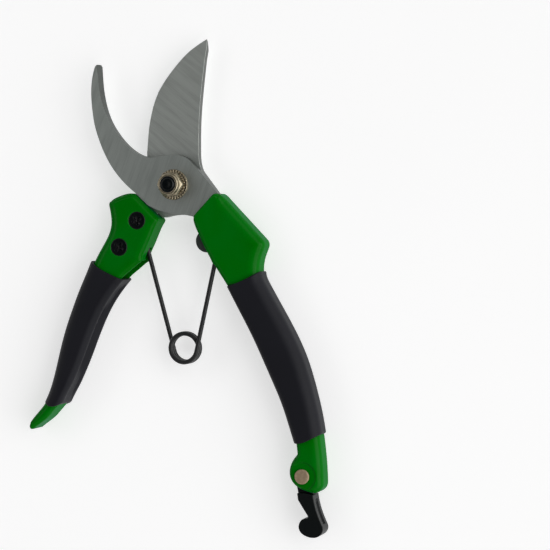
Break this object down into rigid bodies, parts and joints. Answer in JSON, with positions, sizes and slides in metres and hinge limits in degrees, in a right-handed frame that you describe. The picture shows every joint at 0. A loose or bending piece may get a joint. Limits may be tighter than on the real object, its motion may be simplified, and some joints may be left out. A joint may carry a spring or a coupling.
{
  "type": "bypass pruner",
  "caption": "Hand-held bypass pruner: a curved cutting blade slides past a hooked counter blade, with sprung, sleeved handles and a swinging end latch.",
  "frame": {"origin": "on the pivot axis, in the flat end face of the pivot bolt's head, which the tool rests on when it lies on its back", "axes": "+Z along the pivot axis towards the nut; +Y from the pivot towards the blade tips; +X towards the handle that carries the latch"},
  "size_m": [0.1334, 0.2091, 0.0186],
  "materials": {
    "handle_paint": "gloss green paint over die casting",
    "grip_soft": "satin moulded vinyl sleeve",
    "hook_steel": "ground, fine grain along the blade",
    "blade_steel": "ground, fine diagonal grain",
    "black_steel": "black oxide",
    "zinc_plate": "pale yellow zinc plating",
    "nylon_black": "dark nylon",
    "rubber_black": "matte",
    "spring_wire": "black coated wire",
    "latch_plastic": "black moulded plastic, satin",
    "rivet_copper": "satin copper plating"
  },
  "bodies": {
    "right_handle": {"handle_right": "handle_paint", "counter_blade": "hook_steel", "grip_right": "grip_soft", "pivot_bolt": "black_steel", "pivot_nut": "zinc_plate", "nut_nylon_insert": "nylon_black", "lock_washer": "zinc_plate", "back_washer": "zinc_plate", "blade_screw_right_upper": "black_steel", "blade_screw_right_lower": "black_steel", "bumper": "rubber_black", "latch_rivet": "rivet_copper"},
    "left_handle": {"handle_left": "handle_paint", "cutting_blade": "blade_steel", "grip_left": "grip_soft", "blade_screw_left_upper": "black_steel", "blade_screw_left_lower": "black_steel"},
    "spring_right": {"spring_coil_and_right_leg": "spring_wire"},
    "spring_left": {"spring_left_leg": "spring_wire"},
    "latch": {"latch": "latch_plastic"}
  },
  "joints": [
    {"name": "pivot", "type": "hinge", "parent": "right_handle", "child": "left_handle", "pos_m": [0, 0, 0], "axis": [0, 0, 1], "range_deg": [0, 52], "stiffness_Nm_per_rad": 1.5, "springref_deg": -20.05, "deforming": ["bumper"]},
    {"name": "spring_anchor", "type": "hinge", "parent": "right_handle", "child": "spring_right", "pos_m": [0.0198, -0.031, 0], "axis": [0, 0, 1], "range_deg": [-1, 42], "deforming": ["spring_coil_and_right_leg"]},
    {"name": "spring_coil", "type": "hinge", "parent": "spring_right", "child": "spring_left", "pos_m": [0.004, -0.0695, 0], "axis": [0, 0, 1], "range_deg": [-35, 1], "deforming": ["spring_left_leg"]},
    {"name": "latch", "type": "hinge", "parent": "right_handle", "child": "latch", "pos_m": [0.0578, -0.1219, 0], "axis": [0, 0, 1], "range_deg": [-106, 0]}
  ],
  "couplings": [
    {"joint": "spring_anchor", "follows": "pivot", "ratio": 0.788},
    {"joint": "spring_coil", "follows": "pivot", "ratio": -0.657}
  ]
}
